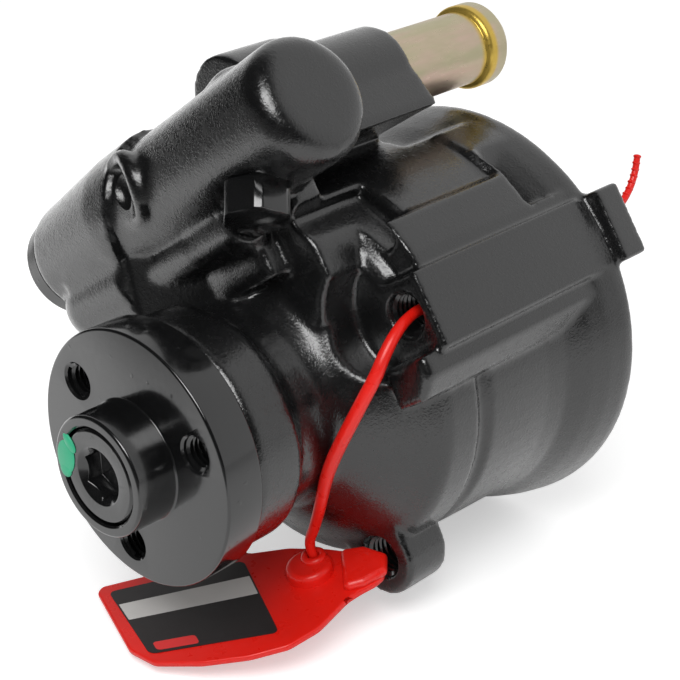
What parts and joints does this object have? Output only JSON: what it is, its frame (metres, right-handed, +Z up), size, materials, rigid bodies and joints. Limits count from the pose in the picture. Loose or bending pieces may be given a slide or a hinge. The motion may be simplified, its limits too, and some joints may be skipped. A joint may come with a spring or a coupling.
{
  "type": "power steering pump",
  "caption": "Vane pump for power steering: black cast housing with a pulley hub, a transverse valve tower, a suction pipe, mounting ears and a red strap seal.",
  "frame": {"origin": "centre of the pulley flange's front face, on the shaft's axis", "axes": "+Y along the shaft from the hub to the rear cover, +Z up as pictured, +X to the right seen from the hub"},
  "size_m": [0.1279, 0.1483, 0.1384],
  "materials": {
    "cast_black": "gloss paint over a cast skin",
    "machined_black": "gloss paint over turned metal",
    "steel": "ground",
    "dark_steel": "oiled",
    "bronze": "plain",
    "rubber": "matte",
    "zinc": "yellow passivated zinc",
    "red_plastic": "gloss",
    "label_black": "satin, bare"
  },
  "bodies": {
    "pump_body": {"housing": "cast_black", "shaft_seal": "rubber", "front_bush": "bronze", "thrust_plate": "steel", "cam_ring": "steel", "pressure_plate": "steel", "pressure_plate_ring": "rubber", "plate_spring": "dark_steel", "end_cover": "dark_steel", "cover_ring": "rubber", "retaining_ring": "dark_steel", "dowel_pins": "steel", "outlet_union": "machined_black", "union_washer": "bronze", "flow_spring": "steel", "cross_plug": "machined_black", "suction_pipe": "zinc", "seal_tag": "red_plastic", "seal_label": "label_black", "seal_strap": "red_plastic"},
    "drive_group": {"pulley_hub": "machined_black", "hub_screw": "machined_black", "drive_shaft": "steel", "rotor": "dark_steel", "vanes": "steel", "rotor_clip": "dark_steel"},
    "spool_group": {"flow_spool": "steel", "relief_seat": "bronze", "relief_spring": "steel"},
    "relief_ball_body": {"relief_ball": "steel"}
  },
  "joints": [
    {"name": "shaft_spin", "type": "hinge", "parent": "pump_body", "child": "drive_group", "pos_m": [0, 0, 0], "axis": [0, 1, 0], "continuous": true},
    {"name": "spool_slide", "type": "slide", "parent": "pump_body", "child": "spool_group", "axis": [0.7976, 0, 0.6032], "range_m": [0, 0.008], "stiffness_N_per_m": 1500, "springref_m": -0.004, "deforming": ["flow_spring"]},
    {"name": "relief_ball_slide", "type": "slide", "parent": "spool_group", "child": "relief_ball_body", "axis": [-0.7976, 0, -0.6032], "range_m": [0, 0.001], "stiffness_N_per_m": 2000, "springref_m": -0.002, "deforming": ["relief_spring"]}
  ]
}
